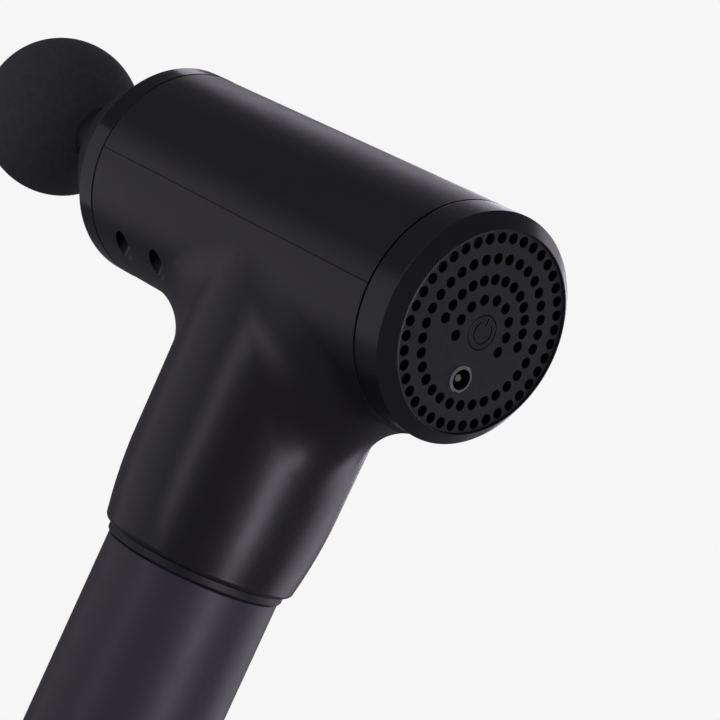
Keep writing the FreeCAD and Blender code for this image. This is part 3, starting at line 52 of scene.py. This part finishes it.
class Surface:
    """One material: its Principled shader and short ways to add the nodes that feed it."""

    def __init__(self, name, color, roughness, metallic=0.0):
        self.material = bpy.data.materials.new(name)
        self.material.use_nodes = True
        self.nodes = self.material.node_tree.nodes
        self.links = self.material.node_tree.links
        self.shader = self.nodes["Principled BSDF"]
        self.color = color
        self.roughness = roughness
        self.normal = None
        self.set(base_color=(*color, 1.0), roughness=roughness, metallic=metallic)
        self.place = self.nodes.new("ShaderNodeTexCoord").outputs["Object"]

    def set(self, **values):
        """Sets the shader's own sockets: base_color is the socket Base Color."""
        for name, value in values.items():
            socket = " ".join(word if word == "IOR" else word.capitalize() for word in name.split("_"))
            self.shader.inputs[socket].default_value = value

    def noise(self, size, detail=2.0, stretch=(1.0, 1.0, 1.0)):
        """Cloudy noise from 0 to 1 whose lumps are about `size` metres across."""
        scaled = self.nodes.new("ShaderNodeMapping")
        scaled.inputs["Scale"].default_value = stretch
        self.links.new(self.place, scaled.inputs["Vector"])
        texture = self.nodes.new("ShaderNodeTexNoise")
        texture.inputs["Scale"].default_value = 1.0 / size
        texture.inputs["Detail"].default_value = detail
        self.links.new(scaled.outputs["Vector"], texture.inputs["Vector"])
        return texture.outputs["Fac"]

    def cells(self, size):
        """Distance to the middle of the nearest cell, for cells about `size` metres across."""
        texture = self.nodes.new("ShaderNodeTexVoronoi")
        texture.inputs["Scale"].default_value = 1.0 / size
        self.links.new(self.place, texture.inputs["Vector"])
        return texture.outputs["Distance"]

    def vary_color(self, value, amount):
        """Makes the colour darker and lighter by the given share, following a value."""
        ramp = self.nodes.new("ShaderNodeValToRGB")
        darkest, lightest = ramp.color_ramp.elements
        darkest.position = NOISE_LOW
        darkest.color = (*[channel * (1.0 - amount) for channel in self.color], 1.0)
        lightest.position = NOISE_HIGH
        lightest.color = (*[channel * (1.0 + amount) for channel in self.color], 1.0)
        self.links.new(value, ramp.inputs["Fac"])
        self.links.new(ramp.outputs["Color"], self.shader.inputs["Base Color"])

    def vary_roughness(self, value, amount):
        """Makes the roughness move up and down by the given amount, following a value."""
        ramp = self.nodes.new("ShaderNodeMapRange")
        ramp.inputs["From Min"].default_value = NOISE_LOW
        ramp.inputs["From Max"].default_value = NOISE_HIGH
        ramp.inputs["To Min"].default_value = self.roughness - amount
        ramp.inputs["To Max"].default_value = self.roughness + amount
        self.links.new(value, ramp.inputs["Value"])
        self.links.new(ramp.outputs["Result"], self.shader.inputs["Roughness"])

    def round_edges(self, radius):
        """Shades sharp edges as if they were rounded; comes before any bump."""
        bevel = self.nodes.new("ShaderNodeBevel")
        bevel.inputs["Radius"].default_value = radius
        self.normal = bevel.outputs["Normal"]

    def raise_by(self, value, height, strength=1.0):
        """Adds a bump of the given height in metres; a second call sits on the first one."""
        bump = self.nodes.new("ShaderNodeBump")
        bump.inputs["Strength"].default_value = strength
        bump.inputs["Distance"].default_value = height
        self.links.new(value, bump.inputs["Height"])
        if self.normal is not None:
            self.links.new(self.normal, bump.inputs["Normal"])
        self.normal = bump.outputs["Normal"]
        self.links.new(self.normal, self.shader.inputs["Normal"])


# ---------------------------------------------------------------- materials


def casing_plastic():
    """Matt black moulded ABS: a fine spark texture and very slight cloudiness."""
    surface = Surface("casing_plastic", (0.0135, 0.0122, 0.0145), roughness=0.35)
    surface.round_edges(radius=0.0004)
    surface.vary_color(surface.noise(size=0.018), amount=0.07)
    surface.vary_roughness(surface.noise(size=0.006, detail=4.0), amount=0.02)
    surface.raise_by(surface.noise(size=0.00022, detail=3.0), height=0.000012)
    return surface.material


def grip_rubber():
    """Satin charcoal soft-touch coat on the handle, finer than the casing's texture."""
    surface = Surface("grip_rubber", (0.046, 0.043, 0.051), roughness=0.46)
    surface.round_edges(radius=0.0003)
    surface.vary_color(surface.noise(size=0.02), amount=0.05)
    surface.vary_roughness(surface.noise(size=0.004, detail=4.0), amount=0.02)
    surface.raise_by(surface.noise(size=0.00015, detail=2.0), height=0.000008)
    return surface.material


def collar_plastic():
    """The recessed ring between the neck and the handle."""
    surface = Surface("collar_plastic", (0.011, 0.0105, 0.0115), roughness=0.5)
    surface.round_edges(radius=0.0003)
    surface.vary_color(surface.noise(size=0.01), amount=0.06)
    surface.vary_roughness(surface.noise(size=0.003), amount=0.03)
    surface.raise_by(surface.noise(size=0.00025), height=0.00001)
    return surface.material


def gloss_plastic():
    """Polished black front ring with a faint orange-peel in its reflections."""
    surface = Surface("gloss_plastic", (0.006, 0.006, 0.0065), roughness=0.16)
    surface.round_edges(radius=0.0004)
    surface.vary_color(surface.noise(size=0.01), amount=0.05)
    surface.vary_roughness(surface.noise(size=0.002, detail=3.0), amount=0.02)
    surface.raise_by(surface.noise(size=0.0012), height=0.000002)
    return surface.material


def rear_plastic():
    """Satin black bevelled ring at the rear."""
    surface = Surface("rear_plastic", (0.0105, 0.0102, 0.0112), roughness=0.27)
    surface.round_edges(radius=0.0005)
    surface.vary_color(surface.noise(size=0.012), amount=0.06)
    surface.vary_roughness(surface.noise(size=0.006, detail=3.0), amount=0.01)
    surface.raise_by(surface.noise(size=0.0005), height=0.000001)
    return surface.material


def grille_plastic():
    """Satin black perforated disc with a fine moulded grain."""
    surface = Surface("grille_plastic", (0.015, 0.0147, 0.016), roughness=0.4)
    surface.round_edges(radius=0.0002)
    surface.vary_color(surface.noise(size=0.008), amount=0.07)
    surface.vary_roughness(surface.noise(size=0.002, detail=3.0), amount=0.03)
    surface.raise_by(surface.noise(size=0.0002, detail=2.0), height=0.000008)
    return surface.material


def button_plastic():
    """The power button, a touch smoother than the grille round it."""
    surface = Surface("button_plastic", (0.017, 0.0165, 0.018), roughness=0.34)
    surface.round_edges(radius=0.0002)
    surface.vary_color(surface.noise(size=0.004), amount=0.05)
    surface.vary_roughness(surface.noise(size=0.001), amount=0.02)
    surface.raise_by(surface.noise(size=0.00018), height=0.000005)
    return surface.material


def nose_plastic():
    """Matt black nose behind the ball."""
    surface = Surface("nose_plastic", (0.010, 0.010, 0.0107), roughness=0.45)
    surface.vary_color(surface.noise(size=0.012), amount=0.06)
    surface.vary_roughness(surface.noise(size=0.004), amount=0.02)
    surface.raise_by(surface.noise(size=0.00022, detail=3.0), height=0.00001)
    return surface.material


def seal_rubber():
    """Matt black rubber seal and O-rings."""
    surface = Surface("seal_rubber", (0.010, 0.010, 0.010), roughness=0.6)
    surface.vary_color(surface.noise(size=0.003), amount=0.08)
    surface.vary_roughness(surface.noise(size=0.001), amount=0.05)
    surface.raise_by(surface.noise(size=0.0003), height=0.00001)
    return surface.material


def foam():
    """Dense moulded EVA foam: closed cells under a fine skin, almost no gloss."""
    surface = Surface("foam", (0.08, 0.079, 0.083), roughness=0.9)
    surface.set(specular_IOR_level=0.12)
    surface.vary_color(surface.noise(size=0.0016, detail=4.0), amount=0.08)
    surface.vary_roughness(surface.noise(size=0.004), amount=0.06)
    surface.raise_by(surface.cells(size=0.00055), height=0.00005, strength=0.7)
    surface.raise_by(surface.noise(size=0.0014, detail=4.0), height=0.00006, strength=0.6)
    return surface.material


def nylon():
    """Black moulded nylon: the head's stem, the liner, the jack case and the fan."""
    surface = Surface("nylon", (0.013, 0.013, 0.014), roughness=0.48)
    surface.vary_color(surface.noise(size=0.006), amount=0.08)
    surface.vary_roughness(surface.noise(size=0.0015), amount=0.04)
    surface.raise_by(surface.noise(size=0.00025), height=0.00001)
    return surface.material


def foot_rubber():
    """Soft matt rubber pad under the handle."""
    surface = Surface("foot_rubber", (0.014, 0.014, 0.014), roughness=0.7)
    surface.vary_color(surface.noise(size=0.002), amount=0.1)
    surface.vary_roughness(surface.noise(size=0.001), amount=0.05)
    surface.raise_by(surface.noise(size=0.0004, detail=4.0), height=0.00003)
    return surface.material


def metal(name, color, roughness, grain, stretch=(1.0, 1.0, 1.0)):
    """A metal with tool marks `grain` metres apart, drawn out along one axis by stretch."""
    surface = Surface(name, color, roughness, metallic=1.0)
    marks = surface.noise(size=grain, detail=3.0, stretch=stretch)
    surface.vary_color(surface.noise(size=grain * METAL_CLOUD), amount=0.06)
    surface.vary_roughness(marks, amount=0.06)
    surface.raise_by(marks, height=0.000004)
    return surface.material


def plated_ring():
    """Bright plating on the ring of the charging socket."""
    return metal("plated_ring", (0.78, 0.79, 0.81), roughness=0.14, grain=0.0006)


def plated_pin():
    """Plated centre pin of the charging socket."""
    return metal("plated_pin", (0.72, 0.7, 0.64), roughness=0.2, grain=0.0003)


def steel():
    """Ground steel of the shafts, the pins and the bearings."""
    return metal("steel", (0.55, 0.55, 0.56), roughness=0.24, grain=0.0003, stretch=(0.15, 1.0, 1.0))


def zinc():
    """Zinc plated screws."""
    return metal("zinc", (0.42, 0.42, 0.43), roughness=0.34, grain=0.0004)


def aluminium():
    """Machined aluminium of the rod and the motor bell."""
    return metal("aluminium", (0.68, 0.69, 0.7), roughness=0.3, grain=0.0004, stretch=(1.0, 1.0, 0.2))


def bronze():
    """Sintered bronze bushes with tiny pores."""
    surface = Surface("bronze", (0.52, 0.36, 0.18), roughness=0.42, metallic=1.0)
    surface.vary_color(surface.cells(size=0.0003), amount=0.15)
    surface.vary_roughness(surface.noise(size=0.0006), amount=0.08)
    surface.raise_by(surface.cells(size=0.0003), height=0.00002)
    return surface.material


def copper():
    """Enamelled copper wire, wound side by side."""
    surface = Surface("copper", (0.62, 0.27, 0.12), roughness=0.3, metallic=1.0)
    surface.vary_color(surface.noise(size=0.002), amount=0.12)
    surface.vary_roughness(surface.noise(size=0.0008), amount=0.06)
    surface.raise_by(surface.noise(size=0.0005, stretch=(1.0, 1.0, 4.0)), height=0.00005)
    return surface.material


def core_steel():
    """Stacked motor laminations."""
    return metal("core_steel", (0.28, 0.28, 0.29), roughness=0.42, grain=0.0004, stretch=(0.05, 0.05, 1.0))


def magnet():
    """Nickel plated rotor magnets."""
    return metal("magnet", (0.24, 0.24, 0.25), roughness=0.3, grain=0.0007)


def board_black():
    """Black solder mask over the board's copper."""
    surface = Surface("board_black", (0.008, 0.011, 0.009), roughness=0.35)
    surface.vary_color(surface.noise(size=0.002), amount=0.15)
    surface.vary_roughness(surface.noise(size=0.001), amount=0.05)
    surface.raise_by(surface.noise(size=0.0006), height=0.00001)
    return surface.material


def cell_wrap():
    """Blue shrink wrap on the cells."""
    surface = Surface("cell_wrap", (0.03, 0.12, 0.36), roughness=0.25)
    surface.vary_color(surface.noise(size=0.01), amount=0.06)
    surface.vary_roughness(surface.noise(size=0.004), amount=0.05)
    surface.raise_by(surface.noise(size=0.003), height=0.00003)
    return surface.material


def holder_plastic():
    """Pale plastic that holds the cells."""
    surface = Surface("holder_plastic", (0.5, 0.5, 0.48), roughness=0.5)
    surface.vary_color(surface.noise(size=0.008), amount=0.05)
    surface.vary_roughness(surface.noise(size=0.002), amount=0.04)
    surface.raise_by(surface.noise(size=0.0003), height=0.00001)
    return surface.material


MAKERS = {
    "casing": casing_plastic,
    "grip": grip_rubber,
    "collar": collar_plastic,
    "gloss_ring": gloss_plastic,
    "nose": nose_plastic,
    "seal": seal_rubber,
    "foam": foam,
    "stem": nylon,
    "rear": rear_plastic,
    "grille": grille_plastic,
    "button": button_plastic,
    "jack_ring": plated_ring,
    "jack_case": nylon,
    "jack_pin": plated_pin,
    "board": board_black,
    "switch": nylon,
    "fan": nylon,
    "steel": steel,
    "zinc": zinc,
    "aluminium": aluminium,
    "bronze": bronze,
    "copper": copper,
    "core": core_steel,
    "magnet": magnet,
    "liner": nylon,
    "cell": cell_wrap,
    "holder": holder_plastic,
    "foot": foot_rubber,
}


def dress_nodes(frame):
    """Gives every CAD node the material of its slot; slots with one maker share one material."""
    made = {}
    for part in frame["record"]["subparts"]:
        maker = MAKERS[part["material_slot"]]
        if maker not in made:
            made[maker] = maker()
        for held in frame["nodes"][part["node"]].material_slots:
            held.material = made[maker]


# ---------------------------------------------------------------- studio


def pale_surround():
    """What the camera sees behind the object is pale; what lights the object is a dim room."""
    world = bpy.data.worlds.new("studio")
    world.use_nodes = True
    bpy.context.scene.world = world
    nodes = world.node_tree.nodes
    links = world.node_tree.links
    seen = nodes["Background"]
    seen.inputs["Color"].default_value = (*WHITE, 1.0)
    seen.inputs["Strength"].default_value = BACKDROP_LIGHT
    room = nodes.new("ShaderNodeBackground")
    room.inputs["Color"].default_value = (*LAMP_COLOR, 1.0)
    room.inputs["Strength"].default_value = ROOM_LIGHT
    path = nodes.new("ShaderNodeLightPath")
    mix = nodes.new("ShaderNodeMixShader")
    links.new(path.outputs["Is Camera Ray"], mix.inputs["Fac"])
    links.new(room.outputs["Background"], mix.inputs[1])
    links.new(seen.outputs["Background"], mix.inputs[2])
    links.new(mix.outputs["Shader"], nodes["World Output"].inputs["Surface"])


def direction(azimuth, elevation):
    """Unit vector towards an azimuth and elevation in degrees; azimuth 0 is -Y and 90 is +X."""
    turn = math.radians(azimuth)
    rise = math.radians(elevation)
    level = math.cos(rise)
    return Vector((math.sin(turn) * level, -math.cos(turn) * level, math.sin(rise)))


def soft_box(name, azimuth, elevation, distance, width, height, light):
    """A rectangular area light of the given brightness, aimed at the barrel's middle."""
    data = bpy.data.lights.new(name, "AREA")
    data.shape = "RECTANGLE"
    data.size = width
    data.size_y = height
    data.energy = light * math.pi * width * height
    data.color = LAMP_COLOR
    box = bpy.data.objects.new(name, data)
    towards = direction(azimuth, elevation)
    box.location = Vector((0, 0, AXIS_HEIGHT)) + towards * distance
    box.rotation_mode = "QUATERNION"
    box.rotation_quaternion = towards.to_track_quat("Z", "Y")
    box.visible_camera = False
    bpy.context.scene.collection.objects.link(box)
    return box


def make_lights():
    """Two strips draw the long streaks, panels light the sides, and two boxes light the far edges."""
    soft_box("right_key", CAMERA_AZIMUTH + 41, -8, distance=1.0, width=0.18, height=0.9, light=6.2)
    soft_box("left_strip", CAMERA_AZIMUTH - 49, 0, distance=1.1, width=0.1, height=1.2, light=3.8)
    soft_box("left_wall", CAMERA_AZIMUTH - 98, -14, distance=1.2, width=1.3, height=1.0, light=0.36)
    soft_box("left_fill", CAMERA_AZIMUTH - 66, 42, distance=1.2, width=0.8, height=0.7, light=0.36)
    soft_box("right_wall", CAMERA_AZIMUTH + 127, 5, distance=1.2, width=1.0, height=1.5, light=0.95)
    soft_box("rim", CAMERA_AZIMUTH - 170, 26, distance=1.2, width=0.5, height=0.3, light=1.0)
    soft_box("far_fill", CAMERA_AZIMUTH + 168, 8, distance=1.2, width=0.5, height=0.8, light=1.6)


def floor_material():
    """Pale floor that fades into the surround away from the object, so no edge shows."""
    material = bpy.data.materials.new("floor")
    material.use_nodes = True
    nodes = material.node_tree.nodes
    links = material.node_tree.links
    nodes.remove(nodes["Principled BSDF"])
    place = nodes.new("ShaderNodeTexCoord")
    length = nodes.new("ShaderNodeVectorMath")
    length.operation = "LENGTH"
    links.new(place.outputs["Object"], length.inputs[0])
    fade = nodes.new("ShaderNodeMapRange")
    fade.interpolation_type = "SMOOTHSTEP"
    fade.inputs["From Min"].default_value = FLOOR_FADE_START
    fade.inputs["From Max"].default_value = FLOOR_FADE_END
    links.new(length.outputs["Value"], fade.inputs["Value"])
    paper = nodes.new("ShaderNodeBsdfDiffuse")
    paper.inputs["Color"].default_value = (*FLOOR_COLOR, 1.0)
    clear = nodes.new("ShaderNodeBsdfTransparent")
    mix = nodes.new("ShaderNodeMixShader")
    links.new(fade.outputs["Result"], mix.inputs["Fac"])
    links.new(paper.outputs["BSDF"], mix.inputs[1])
    links.new(clear.outputs["BSDF"], mix.inputs[2])
    links.new(mix.outputs["Shader"], nodes["Material Output"].inputs["Surface"])
    return material


def make_floor():
    """A round sheet under the object; a lamp of its own keeps it pale, and only the camera sees it."""
    rim = []
    for step in range(FLOOR_SIDES):
        angle = math.tau * step / FLOOR_SIDES
        rim.append((FLOOR_RADIUS * math.cos(angle), FLOOR_RADIUS * math.sin(angle), 0.0))
    mesh = bpy.data.meshes.new("floor")
    mesh.from_pydata(rim, [], [range(FLOOR_SIDES)])
    mesh.materials.append(floor_material())
    floor = bpy.data.objects.new("floor", mesh)
    floor.location.z = -FLOOR_DROP
    floor.visible_diffuse = False
    floor.visible_glossy = False
    bpy.context.scene.collection.objects.link(floor)
    lit = bpy.data.collections.new("lit_by_floor_lamp")
    lit.objects.link(floor)
    lamp = soft_box("floor_lamp", 0, 80, distance=1.2, width=1.5, height=1.5, light=2.6)
    lamp.light_linking.receiver_collection = lit


def make_camera():
    """The camera, turned about its own line of sight by the roll."""
    back = direction(CAMERA_AZIMUTH, CAMERA_ELEVATION)
    level = Vector((math.cos(math.radians(CAMERA_AZIMUTH)), math.sin(math.radians(CAMERA_AZIMUTH)), 0))
    right = Matrix.Rotation(math.radians(CAMERA_ROLL), 3, back) @ level
    up = back.cross(right)
    place = right * CAMERA_ACROSS + up * CAMERA_UP + back * CAMERA_DISTANCE
    data = bpy.data.cameras.new("camera")
    data.lens = CAMERA_LENS
    data.sensor_width = CAMERA_SENSOR
    data.clip_start = CAMERA_NEAREST
    camera = bpy.data.objects.new("camera", data)
    axes = Matrix((right, up, back)).transposed().to_4x4()
    camera.matrix_world = Matrix.Translation(place + Vector((0, 0, AXIS_HEIGHT))) @ axes
    bpy.context.scene.collection.objects.link(camera)
    bpy.context.scene.camera = camera


with open("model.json") as file:
    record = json.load(file)
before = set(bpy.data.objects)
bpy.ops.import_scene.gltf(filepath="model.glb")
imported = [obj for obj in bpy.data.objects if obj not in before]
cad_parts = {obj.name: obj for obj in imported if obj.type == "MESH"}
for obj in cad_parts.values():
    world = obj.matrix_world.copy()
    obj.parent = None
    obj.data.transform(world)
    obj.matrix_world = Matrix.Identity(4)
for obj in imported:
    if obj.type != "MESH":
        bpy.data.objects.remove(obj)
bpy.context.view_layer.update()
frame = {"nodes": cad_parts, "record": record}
dress_nodes(frame)
pale_surround()
make_lights()
make_floor()
make_camera()
bpy.context.scene.view_settings.view_transform = "Standard"
